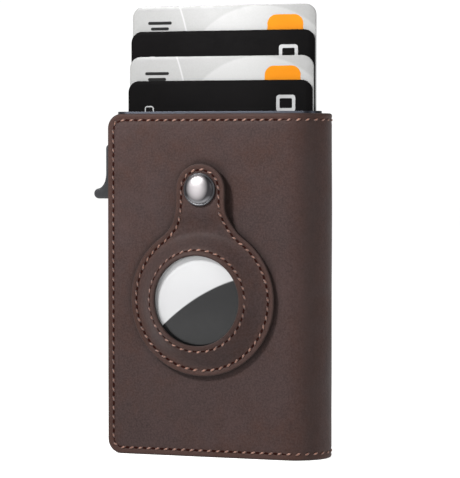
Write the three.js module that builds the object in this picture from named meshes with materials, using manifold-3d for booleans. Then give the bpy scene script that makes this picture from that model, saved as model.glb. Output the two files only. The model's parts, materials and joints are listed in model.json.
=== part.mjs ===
// A slim card wallet that carries a round Bluetooth tracker tag in a snap-on leather holder.
//
// A leather cover wraps round a flat aluminium card case like the cover of a book. A thumb slider on the
// case's narrow side lifts a stepped ejector arm, which fans four cards out of the mouth. The tracker
// tag sits in a domed leather ring on the front cover, under a strap that closes with a snap.
//
// Millimetres. X runs along the wallet's width, Y from the front cover to the back cover, Z up.
// The origin is on the flat underside of the case's end cap. The slider is shown at the top of its
// slot, with the cards out.

import * as THREE from "three";
import { mergeVertices } from "three/addons/utils/BufferGeometryUtils.js";
import Module from "manifold-3d";

const wasm = await Module();
wasm.setup();

// ---------------------------------------------------------------- driving dimensions

const COVER = {
  left: -31, // X of the free edge
  height: 94,
  depth: 20, // outside of the front panel to outside of the back panel
  leather: 1.4,
  corner: 4,
  spineX: 20.6, // centre line of the half-round spine
  splitDeg: 45, // the spine folds along lines at this angle either side of its crown
  gapDeg: 1,
};
const SPINE_R = COVER.depth / 2;
const FRONT_Y = -SPINE_R;
const BACK_Y = SPINE_R;

const CORE = { y0: -8.5, y1: -6.2, margin: 1.6, right: 20 };
const LINING = { thick: 0.6, frontY: -6.1, backY: 7.9, margin: 0.5, right: 20.5 };
const POCKET = { thick: 0.5, left: -18, right: 20, bottom: 2.5, upperTop: 70, lowerTop: 50, dip: 5 };
const NOTE_PANEL = { y0: 5.1, y1: 5.8, top: 88 };

const CASE = { left: -32, right: 27.6, midY: 1, half: 4, wall: 0.8, bottom: 1.3, top: 94.7 };
const SLOT = { z0: 37.4, z1: 88.4, half: 1.1 };
const CAP = { plate: 1.2, floor: 2.2, play: 0.1 };
const EAR = { thick: 0.6, half: 2.4, root: 0.4 }; // the two ears that carry the ejector's pin
const FELT = { thick: 0.45, z0: 79, z1: 90, left: -21, right: 19 };

const CARD = { width: 53.98, height: 85.6, thick: 0.76, corner: 3.18, left: -28.37, pitch: 1.1 };
const CARD_PARKED_Z = 8; // underside of every card with the slider down
const CARD_LIFTS = [9.6, 16.3, 23.4, 30.4]; // front card to rear card, slider up

const ARM = { pivotX: 23.5, pivotZ: 5.8, half: 1.2, boss: 1.9, bore: 0.95, pin: 0.85, swing: 37 };
const REAR_LANE = 0.75; // how far the rear lane reaches behind the middle of the rear card
const SLIDER = {
  travel: 31,
  plate: [-30, -28.6],
  plateHalf: 2.4,
  footTip: -18,
  footTopParked: 4.4,
  footThick: 1.8,
  top: 85.6,
  keyHalf: 0.8, // the thumb tab's key, which runs through the case's slot
  keyInset: 2.1,
};
const THUMB = {
  seat: -32.25, // X of the side that runs on the case
  face: -35.15,
  tip: -38.8,
  nose: 1.425, // radius of the rounded lip
  half: 2.3,
  bottom: 70.4,
  shoulder: 77.5,
  top: 85.6,
};

const TAG = { x: -2.6, z: 43.1, radius: 15.95, clearance: 0.4 };
const COIN_CELL = { radius: 10, bottom: 0.75, top: 3.8 };
const RING = { outer: 20.8, foot: 18.9, rim: 12.25, base: 1.4, crown: 5.9, thick: 1.2 };
const LINER = { margin: 0.3, width: 0.8, thick: 0.17, gap: 0.08 };
const STRAP = {
  half: 7.05,
  snapZ: 30.2, // above the tag's centre, like hingeZ
  hingeZ: 19.6,
  fillet: 12,
  gap: 0.3,
  low: 0.1, // height of the strap's underside at the hinge, and past its rise
  high: 1.3,
  rise: 5,
  thick: 1.4,
};
const SNAP = { cap: 4.55, shank: 1.5, socket: 4.3, stud: 1.8, post: 1.2, base: 4, rivet: 3.5, bore: 3.9 };
const MAGNET = { x: -24.5, z: 47, radius: 4, thick: 1.5, clearance: 0.2, keeper: 3.5, keeperThick: 0.4 };

const ROUND = 40; // facets of a large circle
const SMALL_ROUND = 24;
const OVER = 1; // how far a cutting solid runs past what it cuts
const DEG = Math.PI / 180;

// ---------------------------------------------------------------- materials

const finish = (color, roughness, metalness = 0) =>
  new THREE.MeshStandardMaterial({ color, roughness, metalness });
const MATERIALS = {
  leather: finish(0x4d3f3b, 0.7),
  lining: finish(0x2b2422, 0.85),
  board: finish(0x8a7d6c, 0.9),
  aluminium: finish(0x2a2d33, 0.4, 0.8),
  blackPlastic: finish(0x2e3035, 0.5),
  felt: finish(0x1b1b1d, 0.95),
  steel: finish(0xd9d9dc, 0.12, 1),
  darkSteel: finish(0x8b8c90, 0.25, 1),
  magnet: finish(0x9a9a9e, 0.3, 0.9),
  whitePlastic: finish(0xf2f2f0, 0.35),
  greyPlastic: finish(0x5a5c60, 0.6),
  circuit: finish(0x14351f, 0.5),
  chip: finish(0x18181a, 0.4),
  copper: finish(0xb4703c, 0.35, 0.9),
  foam: finish(0x3a3a3c, 0.95),
  lightCard: finish(0xdededc, 0.4),
  darkCard: finish(0x1c1b1c, 0.4),
};

// ---------------------------------------------------------------- solids

// A closed three.js geometry as a manifold-3d solid.
function solid(geometry) {
  const bare = geometry.clone();
  bare.deleteAttribute("normal");
  bare.deleteAttribute("uv");
  const merged = mergeVertices(bare, 1e-4);
  return new wasm.Manifold(
    new wasm.Mesh({
      numProp: 3,
      vertProperties: merged.getAttribute("position").array,
      triVerts: new Uint32Array(merged.index.array),
    }),
  );
}

function geometryOf(manifold) {
  const { vertProperties, triVerts } = manifold.getMesh();
  const geometry = new THREE.BufferGeometry();
  geometry.setAttribute("position", new THREE.BufferAttribute(vertProperties, 3));
  geometry.setIndex(new THREE.BufferAttribute(triVerts, 1));
  geometry.computeVertexNormals();
  return geometry;
}

// A prism with its outline in XZ, between two values of Y.
function slabY(shape, y0, y1, curveSegments = 12) {
  const options = { depth: y1 - y0, bevelEnabled: false, curveSegments };
  return solid(new THREE.ExtrudeGeometry(shape, options).rotateX(Math.PI / 2).translate(0, y1, 0));
}

// A prism with its outline in XY, between two values of Z.
function slabZ(shape, z0, z1, curveSegments = 12) {
  const options = { depth: z1 - z0, bevelEnabled: false, curveSegments };
  return solid(new THREE.ExtrudeGeometry(shape, options).translate(0, 0, z0));
}

function box(x0, x1, y0, y1, z0, z1) {
  const geometry = new THREE.BoxGeometry(x1 - x0, y1 - y0, z1 - z0);
  return solid(geometry.translate((x0 + x1) / 2, (y0 + y1) / 2, (z0 + z1) / 2));
}

// A cylinder along Y.
function rodY(x, z, radius, y0, y1, facets = SMALL_ROUND) {
  const geometry = new THREE.CylinderGeometry(radius, radius, y1 - y0, facets);
  return solid(geometry.translate(x, (y0 + y1) / 2, z));
}

// A turned piece on the axis along Y through (x, z). Each profile point is [radius, height above the
// front cover], from the innermost and lowest point round the outside.
function turned(x, z, profile, facets = ROUND) {
  const points = profile.map(([r, h]) => new THREE.Vector2(r, h));
  const geometry = new THREE.LatheGeometry(points, facets).rotateX(Math.PI);
  return solid(geometry.translate(x, FRONT_Y, z));
}

// A rectangle with its left corners rounded, and its right corners too where rightCorner is given.
function roundedRectangle(x0, x1, z0, z1, corner, rightCorner = 0) {
  const shape = new THREE.Shape();
  shape.moveTo(x0 + corner, z0);
  shape.lineTo(x1 - rightCorner, z0);
  if (rightCorner) shape.absarc(x1 - rightCorner, z0 + rightCorner, rightCorner, -Math.PI / 2, 0);
  shape.lineTo(x1, z1 - rightCorner);
  if (rightCorner) shape.absarc(x1 - rightCorner, z1 - rightCorner, rightCorner, 0, Math.PI / 2);
  shape.lineTo(x0 + corner, z1);
  shape.absarc(x0 + corner, z1 - corner, corner, Math.PI / 2, Math.PI);
  shape.lineTo(x0, z0 + corner);
  shape.absarc(x0 + corner, z0 + corner, corner, Math.PI, 1.5 * Math.PI);
  return shape;
}

// The flat oval section of the card case, moved in by an inset.
function oval(inset) {
  const r = CASE.half - inset;
  const shape = new THREE.Shape();
  shape.absarc(CASE.right - CASE.half, CASE.midY, r, -Math.PI / 2, Math.PI / 2);
  shape.absarc(CASE.left + CASE.half, CASE.midY, r, Math.PI / 2, 1.5 * Math.PI);
  return shape;
}

// The holder's outline: a ring with a strap rising from it, joined by two fillets.
function holderOutline() {
  const { outer } = RING;
  const { half, snapZ, fillet } = STRAP;
  const side = half + fillet;
  const rise = Math.sqrt((outer + fillet) ** 2 - side ** 2);
  const lean = Math.atan2(rise, side);
  const shape = new THREE.Shape();
  shape.absarc(TAG.x, TAG.z, outer, Math.PI - lean, lean);
  shape.absarc(TAG.x + side, TAG.z + rise, fillet, Math.PI + lean, Math.PI, true);
  shape.absarc(TAG.x, TAG.z + snapZ, half, 0, Math.PI);
  shape.absarc(TAG.x - side, TAG.z + rise, fillet, 0, -lean, true);
  return shape;
}

// ---------------------------------------------------------------- the scene graph

const wallet = new THREE.Group();

function add(name, manifold, material) {
  const mesh = new THREE.Mesh(geometryOf(manifold), material);
  mesh.name = name;
  wallet.add(mesh);
}

// ---------------------------------------------------------------- leather cover

// A stretch of the half-round spine between two angles, as a section in XY.
function spineSection(outer, inner, fromDeg, toDeg, flatTo) {
  const shape = new THREE.Shape();
  shape.absarc(COVER.spineX, 0, outer, fromDeg * DEG, toDeg * DEG);
  if (flatTo !== undefined && toDeg === 90) {
    shape.lineTo(flatTo, outer);
    shape.lineTo(flatTo, inner);
  }
  shape.absarc(COVER.spineX, 0, inner, toDeg * DEG, fromDeg * DEG, true);
  if (flatTo !== undefined && fromDeg === -90) {
    shape.lineTo(flatTo, -inner);
    shape.lineTo(flatTo, -outer);
  }
  return shape;
}

function coverTrim() {
  const right = COVER.spineX + SPINE_R + OVER;
  const outline = roundedRectangle(COVER.left, right, 0, COVER.height, COVER.corner);
  return slabY(outline, FRONT_Y - OVER, BACK_Y + OVER);
}

// A hole through the front cover, from its face inwards.
function coverHole(z, radius, facets) {
  return rodY(TAG.x, z, radius, FRONT_Y - OVER, FRONT_Y + COVER.leather + OVER, facets);
}

function makeCover() {
  const { leather, left, height, splitDeg, gapDeg } = COVER;
  const inner = SPINE_R - leather;
  const front = slabZ(spineSection(SPINE_R, inner, -90, -splitDeg - gapDeg, left), 0, height)
    .intersect(coverTrim())
    .subtract(coverHole(TAG.z, TAG.radius + TAG.clearance, ROUND))
    .subtract(coverHole(TAG.z + STRAP.snapZ, SNAP.post + 0.2, SMALL_ROUND));
  const back = slabZ(spineSection(SPINE_R, inner, splitDeg + gapDeg, 90, left), 0, height);
  const spine = slabZ(spineSection(SPINE_R, inner, -splitDeg + gapDeg, splitDeg - gapDeg), 0, height);
  add("front_cover_leather", front, MATERIALS.leather);
  add("spine_leather", spine, MATERIALS.leather);
  add("back_cover_leather", back.intersect(coverTrim()), MATERIALS.leather);
}

function makeCore() {
  const { y0, y1, margin, right } = CORE;
  const corner = COVER.corner - 1;
  const panel = roundedRectangle(COVER.left + margin, right, margin, COVER.height - margin, corner);
  const core = slabY(panel, y0, y1)
    .subtract(rodY(TAG.x, TAG.z, TAG.radius + TAG.clearance, y0 - OVER, y1 + OVER, ROUND))
    .subtract(rodY(TAG.x, TAG.z + STRAP.snapZ, SNAP.bore, y0 - OVER, y1 + OVER))
    .subtract(rodY(MAGNET.x, MAGNET.z, MAGNET.radius + MAGNET.clearance, y0 - OVER, y1 + OVER));
  add("front_core_board", core, MATERIALS.board);
  const magnet = rodY(MAGNET.x, MAGNET.z, MAGNET.radius, y1 - MAGNET.thick, y1);
  add("closure_magnet", magnet, MATERIALS.magnet);
}

function makeLinings() {
  const { thick, frontY, backY, margin, right } = LINING;
  const { left, height, splitDeg, gapDeg, leather } = COVER;
  const panel = roundedRectangle(left + margin, right, margin, height - margin, COVER.corner - margin);
  add("front_lining", slabY(panel, frontY, frontY + thick), MATERIALS.lining);
  add("back_lining", slabY(panel, backY, backY + thick), MATERIALS.lining);
  const outer = SPINE_R - leather - 0.1;
  const crown = spineSection(outer, outer - 0.5, -splitDeg + gapDeg, splitDeg - gapDeg);
  add("spine_lining", slabZ(crown, margin, height - margin), MATERIALS.lining);
}

// A flat pocket leaf with a shallow dip in its top edge for a thumb.
function pocketLeaf(top, y0) {
  const { left, right, bottom, dip, thick } = POCKET;
  const mid = (left + right) / 2;
  const shape = new THREE.Shape();
  shape.moveTo(left, bottom);
  shape.lineTo(right, bottom);
  shape.lineTo(right, top);
  shape.quadraticCurveTo(mid, top - 2 * dip, left, top);
  return slabY(shape, y0, y0 + thick, 10);
}

function makePockets() {
  const firstY = LINING.frontY + LINING.thick + 0.1;
  add("card_pocket_upper", pocketLeaf(POCKET.upperTop, firstY), MATERIALS.leather);
  add("card_pocket_lower", pocketLeaf(POCKET.lowerTop, firstY + POCKET.thick + 0.1), MATERIALS.leather);
  const { y0, y1, top } = NOTE_PANEL;
  const leaf = roundedRectangle(COVER.left + 1, LINING.right, 1, top, 2);
  add("note_pocket_leaf", slabY(leaf, y0, y1), MATERIALS.lining);
}

// ---------------------------------------------------------------- card case and its mechanism

function makeCase() {
  const { bottom, top, wall, left, midY, half } = CASE;
  const tube = slabZ(oval(0), bottom, top, 16)
    .subtract(slabZ(oval(wall), bottom - OVER, top + OVER, 16))
    .subtract(box(left - OVER, left + 2 * wall, midY - SLOT.half, midY + SLOT.half, SLOT.z0, SLOT.z1));
  add("case_tube", tube, MATERIALS.aluminium);

  const { play, plate, floor } = CAP;
  const { pivotX, pivotZ, boss, pin } = ARM;
  const inside = half - wall - play;
  let cap = slabZ(oval(0), 0, plate, 16).add(slabZ(oval(wall + play), plate - 0.2, floor, 16));
  for (const side of [-1, 1]) {
    const y0 = midY + (side < 0 ? -inside : inside - EAR.thick);
    const x = [pivotX - EAR.half, pivotX + EAR.half];
    const ear = box(...x, y0, y0 + EAR.thick, floor - EAR.root, pivotZ + boss);
    cap = cap.add(ear.intersect(slabZ(oval(wall + play), 0, pivotZ + boss, 16)));
  }
  const hole = rodY(pivotX, pivotZ, pin + 0.05, midY - half, midY + half);
  add("case_end_cap", cap.subtract(hole), MATERIALS.blackPlastic);
  add("ejector_pivot_pin", rodY(pivotX, pivotZ, pin, midY - inside, midY + inside), MATERIALS.darkSteel);

  const inner = half - wall;
  const frontFelt = box(FELT.left, FELT.right, midY - inner, midY - inner + FELT.thick, FELT.z0, FELT.z1);
  const backFelt = box(FELT.left, FELT.right, midY + inner - FELT.thick, midY + inner, FELT.z0, FELT.z1);
  add("felt_strip_front", frontFelt, MATERIALS.felt);
  add("felt_strip_back", backFelt, MATERIALS.felt);

  const keeperY = midY - half;
  const keeper = rodY(MAGNET.x, MAGNET.z, MAGNET.keeper, keeperY - MAGNET.keeperThick, keeperY);
  add("magnet_keeper", keeper, MATERIALS.darkSteel);
}

const cardY = (index) => CASE.midY + (index - (CARD_LIFTS.length - 1) / 2) * CARD.pitch;

function makeCards() {
  CARD_LIFTS.forEach((lift, index) => {
    const z0 = CARD_PARKED_Z + lift;
    const { left, width, height, corner, thick } = CARD;
    const outline = roundedRectangle(left, left + width, z0, z0 + height, corner, corner);
    const y0 = cardY(index) - thick / 2;
    const material = index % 2 ? MATERIALS.lightCard : MATERIALS.darkCard;
    add(`card_${index + 1}`, slabY(outline, y0, y0 + thick, 8), material);
  });
}

// Reach of the arm's lane under a card: its outer top corner rises by the card's lift.
function laneReach(lift) {
  const swing = ARM.swing * DEG;
  return (lift + ARM.half * (1 - Math.cos(swing))) / Math.sin(swing);
}

// The curve that the tip of the slider's foot follows in the arm's own frame while the slider moves
// evenly and the arm turns evenly. The notch under the arm follows it, so the lift stays even.
function footTrack(steps) {
  const track = [];
  for (let i = 0; i <= steps; i += 1) {
    const share = i / steps;
    const angle = ARM.swing * DEG * share;
    const dx = ARM.pivotX - SLIDER.footTip;
    const dz = SLIDER.footTopParked + SLIDER.travel * share - ARM.pivotZ;
    track.push([dx * Math.cos(angle) + dz * Math.sin(angle), dz * Math.cos(angle) - dx * Math.sin(angle)]);
  }
  return track;
}

// The notch under the arm: the foot's track, closed below the arm, in the arm's own frame.
function notchOutline(below) {
  const clearance = 0.15;
  const track = footTrack(10).map(([along, up]) => new THREE.Vector2(-along, up + clearance));
  const [first, last] = [track[0], track.at(-1)];
  const end = last.x - 1;
  const notch = [new THREE.Vector2(first.x, below), ...track];
  notch.push(new THREE.Vector2(end, last.y), new THREE.Vector2(end, below));
  return new THREE.Shape(notch.reverse());
}

function makeArm() {
  const { pivotX, pivotZ, half, boss, bore, swing } = ARM;
  const reaches = CARD_LIFTS.map(laneReach);
  const lanePitch = CARD.pitch / 2;
  const pieces = reaches.map((reach, index) => {
    const last = index === reaches.length - 1;
    const y1 = cardY(index) + (last ? REAR_LANE : lanePitch + 0.01);
    return box(-reach, 0, cardY(index) - lanePitch, y1, -half, half);
  });
  const y0 = cardY(0) - lanePitch;
  const y1 = cardY(reaches.length - 1) + REAR_LANE;
  let arm = pieces.reduce((whole, piece) => whole.add(piece)).add(rodY(0, 0, boss, y0, y1));

  arm = arm.subtract(slabY(notchOutline(-half - OVER), y0 - OVER, y1 + OVER));
  arm = arm.subtract(rodY(0, 0, bore, y0 - OVER, y1 + OVER));
  arm = arm.rotate([0, swing, 0]).translate([pivotX, 0, pivotZ]);
  add("ejector_arm", arm, MATERIALS.blackPlastic);
}

function makeSlider() {
  const { travel, plate, plateHalf, footTip, footTopParked, footThick, top, keyHalf, keyInset } = SLIDER;
  const { seat, face, tip, nose, half, bottom, shoulder } = THUMB;
  const { midY } = CASE;
  const play = 0.1;
  const footTop = footTopParked + travel;
  const footBottom = footTop - footThick;
  const rearLane = cardY(CARD_LIFTS.length - 1);
  const keyEnd = plate[0] + 0.6;
  const keySides = [midY - keyHalf, midY + keyHalf];
  const keyEnds = [bottom + keyInset, top - keyInset];
  const keyway = [keySides[0] - play, keySides[1] + play, keyEnds[0] - play, keyEnds[1] + play];
  const carriage = box(...plate, midY - plateHalf, midY + plateHalf, footBottom, top)
    .add(box(plate[0] + 0.2, footTip, rearLane - 0.5, rearLane + 0.8, footBottom, footTop))
    .subtract(box(plate[0] - OVER, keyEnd + play, ...keyway));
  add("slider_carriage", carriage, MATERIALS.blackPlastic);

  const profile = new THREE.Shape();
  profile.moveTo(seat, bottom);
  profile.lineTo(seat, top);
  profile.lineTo(face + 1, top);
  profile.quadraticCurveTo(face, top, face, top - 1);
  profile.lineTo(face, shoulder);
  profile.quadraticCurveTo(face - 0.1, bottom + 2.8 * nose, tip + nose, bottom + 2 * nose);
  profile.absarc(tip + nose, bottom + nose, nose, Math.PI / 2, 1.5 * Math.PI);
  const key = box(seat - 0.5, keyEnd, ...keySides, ...keyEnds);
  const thumb = slabY(profile, midY - half, midY + half, 8).add(key);
  add("slider_thumb_tab", thumb, MATERIALS.blackPlastic);
}

// ---------------------------------------------------------------- leather tag holder

// Height of the ring's top face above the front cover: flat at the foot, rising to the rim.
function ringHeight(r) {
  const t = Math.min(Math.max((RING.foot - r) / (RING.foot - RING.rim), 0), 1);
  return RING.base + (RING.crown - RING.base) * t * t * (3 - 2 * t);
}

function makeHolder() {
  const { outer, rim, foot, base, crown, thick } = RING;
  const steps = 6;
  const radii = Array.from({ length: steps + 1 }, (_, i) => rim + ((foot - rim) * i) / steps);
  const under = radii.map((r) => [r, Math.max(ringHeight(r) - thick, 0.05)]);
  const over = radii.map((r) => [r, ringHeight(r)]).reverse();
  const profile = [...under, [outer, 0.05], [outer, base], ...over, under[0]];
  const ring = turned(TAG.x, TAG.z, profile);

  // The ring's leather ends on a straight line across the strap, where the strap starts to bend.
  const cut = TAG.z + STRAP.hingeZ - STRAP.gap / 2;
  const across = [TAG.x - 1.5 * outer, TAG.x + 1.5 * outer, FRONT_Y - 2 * crown, FRONT_Y + OVER];
  const shoulder = slabY(holderOutline(), FRONT_Y - base, FRONT_Y - 0.05, 16)
    .intersect(box(...across, TAG.z + rim, cut))
    .subtract(rodY(TAG.x, TAG.z, foot + 0.05, FRONT_Y - 2 * base, FRONT_Y + OVER, ROUND));
  const holder = ring.add(shoulder).subtract(box(...across, cut, TAG.z + 2 * outer));
  add("holder_ring", holder, MATERIALS.leather);
  add("tag_window_liner", turned(TAG.x, TAG.z, linerProfile()), MATERIALS.lining);
}

// A thin ring under the leather round the window, as wide as the window's stitching.
function linerProfile() {
  const inner = RING.rim + LINER.margin;
  const edge = inner + LINER.width;
  const top = ringHeight(inner) - RING.thick - LINER.gap;
  const low = top - LINER.thick;
  const drop = ringHeight(inner) - ringHeight(edge);
  return [[inner, low], [edge, low - drop], [edge, top - drop], [inner, top], [inner, low]];
}

// The strap's section: distance in front of the wallet's middle, and height. It leaves the cover at
// the hinge, rises in an easy curve and runs straight over the snap.
function strapSection() {
  const { hingeZ, gap, low, high, rise, thick } = STRAP;
  const near = SPINE_R + low;
  const far = SPINE_R + high;
  const start = TAG.z + hingeZ + gap / 2;
  const half = start + rise / 2;
  const end = start + rise;
  const top = TAG.z + 50;
  const section = new THREE.Shape();
  section.moveTo(near, start);
  section.bezierCurveTo(near, half, far, half, far, end);
  section.lineTo(far, top);
  section.lineTo(far + thick, top);
  section.lineTo(far + thick, end);
  section.bezierCurveTo(far + thick, half, near + thick, half, near + thick, start);
  return section;
}

function makeStrap() {
  const width = 40;
  const options = { depth: width, bevelEnabled: false, curveSegments: 8 };
  const bent = new THREE.ExtrudeGeometry(strapSection(), options);
  // The section turns to face -Y, and the extrusion runs along X.
  const turn = new THREE.Matrix4().set(0, 0, -1, TAG.x + width / 2, -1, 0, 0, 0, 0, 1, 0, 0, 0, 0, 0, 1);
  bent.applyMatrix4(turn);
  const front = FRONT_Y - 2 * RING.crown;
  const strap = solid(bent)
    .intersect(slabY(holderOutline(), front, FRONT_Y + OVER, 16))
    .subtract(rodY(TAG.x, TAG.z + STRAP.snapZ, SNAP.shank + 0.2, front, FRONT_Y + OVER));
  add("holder_strap", strap, MATERIALS.leather);
}

function makeSnap() {
  const at = [TAG.x, TAG.z + STRAP.snapZ];
  const { cap, shank, socket, stud, post, base, rivet } = SNAP;
  const seat = STRAP.high + STRAP.thick + 0.05;
  const crown = [[0, 1.35], [shank, 1.35], [shank, seat], [cap - 0.2, seat], [cap, seat + 0.3]];
  const dome = 5;
  for (let i = 1; i < dome; i += 1) {
    const angle = (i / dome) * 90 * DEG;
    crown.push([cap * Math.cos(angle), seat + 0.3 + 1.5 * Math.sin(angle)]);
  }
  crown.push([0, seat + 1.8]);
  add("snap_cap", turned(...at, crown, SMALL_ROUND), MATERIALS.darkSteel);

  const bore = stud + 0.25;
  const cup = [[bore, 0.45], [socket, 0.45], [socket, 1.2], [bore, 1.2], [bore, 0.45]];
  add("snap_socket", turned(...at, cup, SMALL_ROUND), MATERIALS.darkSteel);
  const flange = [[0, 0.03], [base, 0.03], [base, 0.35], [1.3, 0.35]];
  const button = [...flange, [1.3, 0.65], [stud, 0.75], [stud - 0.3, 1.15], [0, 1.15]];
  add("snap_stud", turned(...at, button, SMALL_ROUND), MATERIALS.darkSteel);
  const stem = [[0, -2], [rivet, -2], [rivet, -1.5], [post, -1.5], [post, -0.02], [0, -0.02]];
  add("snap_rivet", turned(...at, stem, SMALL_ROUND), MATERIALS.darkSteel);
}

// ---------------------------------------------------------------- tracker tag

function makeTagShell() {
  const outside = [
    [0, -3.1], [5, -3.03], [9, -2.75], [12.5, -2.1], [14.8, -1.15], [15.75, -0.1], [TAG.radius, 0.7],
    [15.7, 1.7], [15, 2.6], [14.2, 3.25], [13.5, 3.6],
  ];
  const inside = [[13.35, 3.6], [13.35, 1.4], [14.5, 1.1], [14.5, -0.1], [12.6, -1.15], [8, -2], [0, -2.2]];
  add("tag_shell", turned(TAG.x, TAG.z, [...outside, ...inside]), MATERIALS.whitePlastic);
}

const coverCrown = (r) => 4.8 - 0.7 * (r / 13.2) ** 2;

function makeTagCover() {
  const plate = 0.5;
  const edge = 13.15;
  const radii = [0, 4, 8, 11, edge];
  const over = radii.map((r) => [r, coverCrown(r)]).reverse();
  const under = radii.filter((r) => r < 12).map((r) => [r, coverCrown(r) - plate]);
  const skirt = [[12.5, coverCrown(12.5) - plate], [12.5, 2.9], [edge, 2.9]];
  add("tag_battery_cover", turned(TAG.x, TAG.z, [...under, ...skirt, ...over]), MATERIALS.steel);
  const pad = [[6, 3.85], [8.5, 3.85], [8.5, 3.97], [6, 3.97], [6, 3.85]];
  add("tag_cover_pad", turned(TAG.x, TAG.z, pad, SMALL_ROUND), MATERIALS.foam);
}

function makeTagInside() {
  const at = [TAG.x, TAG.z];
  const { radius, bottom, top } = COIN_CELL;
  const step = [[8.6, bottom], [8.6, bottom + 0.3], [radius, bottom + 0.5]];
  const cell = [[0, bottom], ...step, [radius, top], [0, top]];
  add("tag_coin_cell", turned(...at, cell, SMALL_ROUND), MATERIALS.darkSteel);
  const tray = [[3, 0.1], [12.2, 0.1], [12.2, 2.4], [10.7, 2.4], [10.7, 0.6], [3, 0.6], [3, 0.1]];
  add("tag_battery_tray", turned(...at, tray, SMALL_ROUND), MATERIALS.greyPlastic);
  const board = [[5, -0.55], [12, -0.55], [12, 0], [5, 0], [5, -0.55]];
  add("tag_circuit_board", turned(...at, board, SMALL_ROUND), MATERIALS.circuit);
  const aerial = [[13.1, 0.1], [14.1, 0.1], [14.1, 0.4], [13.1, 0.4], [13.1, 0.1]];
  add("tag_antenna_loop", turned(...at, aerial, SMALL_ROUND), MATERIALS.copper);
  const puck = [[0, -1.6], [3.3, -1.6], [3.3, 0], [0, 0]];
  add("tag_speaker_magnet", turned(...at, puck, SMALL_ROUND), MATERIALS.magnet);
  const coil = [[3.6, -2.02], [4.2, -2.02], [4.2, -1.1], [3.6, -1.1], [3.6, -2.02]];
  add("tag_voice_coil", turned(...at, coil, SMALL_ROUND), MATERIALS.copper);

  // Each chip's angle round the board and its side. They sit on the board's inner face.
  const chips = { tag_radio_chip: [120, 4], tag_ranging_chip: [240, 3.6], tag_motion_sensor: [0, 2.4] };
  const ring = 7.6;
  const chipY = [FRONT_Y + 0.6, FRONT_Y + 1.4];
  for (const [name, [angle, side]] of Object.entries(chips)) {
    const x = TAG.x + ring * Math.cos(angle * DEG);
    const z = TAG.z + ring * Math.sin(angle * DEG);
    add(name, box(x - side / 2, x + side / 2, ...chipY, z - side / 2, z + side / 2), MATERIALS.chip);
  }

  const spring = [[0, 0.2], [2, 0.2], [2, 0.35], [0.6, 0.7], [0, 0.7]];
  add("tag_contact_minus", turned(...at, spring, SMALL_ROUND), MATERIALS.copper);
  const finger = radius + 0.2;
  const y1 = FRONT_Y - 0.8;
  const strip = box(TAG.x - 1.5, TAG.x + 1.5, y1 - 1.6, y1, TAG.z - finger - 0.25, TAG.z - finger);
  add("tag_contact_plus", strip, MATERIALS.copper);
}

makeCover();
makeCore();
makeLinings();
makePockets();
makeCase();
makeCards();
makeArm();
makeSlider();
makeHolder();
makeStrap();
makeSnap();
makeTagShell();
makeTagCover();
makeTagInside();

export default wallet;
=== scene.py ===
"""The looks of the card wallet with its tracker tag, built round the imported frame.

Everything is in metres in the part's own frame: X from the free edge to the spine, Y from the front
cover to the back cover, Z up. Places come from the frame's node boxes, and other sizes are named in
millimetres at the top of the section that uses them.
"""

import json
import math

import bmesh
import bpy
import numpy as np
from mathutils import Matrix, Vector


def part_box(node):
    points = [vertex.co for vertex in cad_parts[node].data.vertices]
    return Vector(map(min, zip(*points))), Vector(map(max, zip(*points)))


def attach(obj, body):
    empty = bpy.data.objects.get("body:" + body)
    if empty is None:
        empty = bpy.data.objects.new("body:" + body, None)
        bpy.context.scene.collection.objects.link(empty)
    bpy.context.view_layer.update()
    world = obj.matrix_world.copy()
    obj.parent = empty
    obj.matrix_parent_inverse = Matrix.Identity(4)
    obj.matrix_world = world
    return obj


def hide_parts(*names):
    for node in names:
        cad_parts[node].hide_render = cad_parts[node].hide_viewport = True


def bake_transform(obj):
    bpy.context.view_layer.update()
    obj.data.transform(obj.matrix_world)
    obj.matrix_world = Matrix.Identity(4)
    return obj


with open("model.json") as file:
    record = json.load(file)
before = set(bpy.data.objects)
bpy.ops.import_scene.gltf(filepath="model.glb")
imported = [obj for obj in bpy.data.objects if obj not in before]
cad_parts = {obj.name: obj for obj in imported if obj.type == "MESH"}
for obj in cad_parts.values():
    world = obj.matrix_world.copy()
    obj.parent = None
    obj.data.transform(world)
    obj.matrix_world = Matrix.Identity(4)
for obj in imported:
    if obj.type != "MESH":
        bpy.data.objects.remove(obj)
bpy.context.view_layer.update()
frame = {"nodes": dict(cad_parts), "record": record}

MM = 0.001
RNG = np.random.default_rng(7)

# ---------------- camera

VIEW_YAW = math.radians(20.30)
VIEW_PITCH = math.radians(2.06)
CAMERA_PLACE = Vector((243.8, -655.0, 84.6)) * MM
LENS = 190.7  # millimetres, on a 36 mm sensor along the frame's longer side

camera_data = bpy.data.cameras.new("camera")
camera_data.lens = LENS
camera_data.sensor_width = 36
camera = bpy.data.objects.new("camera", camera_data)
camera.location = CAMERA_PLACE
camera.rotation_euler = (math.pi / 2 - VIEW_PITCH, 0, VIEW_YAW)
bpy.context.scene.collection.objects.link(camera)
bpy.context.scene.camera = camera

# ---------------- places taken from the frame


def low(node):
    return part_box(node)[0]


def high(node):
    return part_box(node)[1]


COVER_LEFT = low("front_cover_leather").x
COVER_TOP = high("front_cover_leather").z
FRONT_Y = low("front_cover_leather").y
BACK_Y = high("back_cover_leather").y
SPINE_R = (BACK_Y - FRONT_Y) / 2
SPINE_X = high("spine_leather").x - SPINE_R
LEATHER = 1.4 * MM
TAG_X = (low("tag_shell").x + high("tag_shell").x) / 2
TAG_Z = (low("tag_shell").z + high("tag_shell").z) / 2
SNAP_Z = (low("snap_cap").z + high("snap_cap").z) / 2
CASE_MID_Y = (low("case_tube").y + high("case_tube").y) / 2

# ---------------- node material helpers


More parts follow.
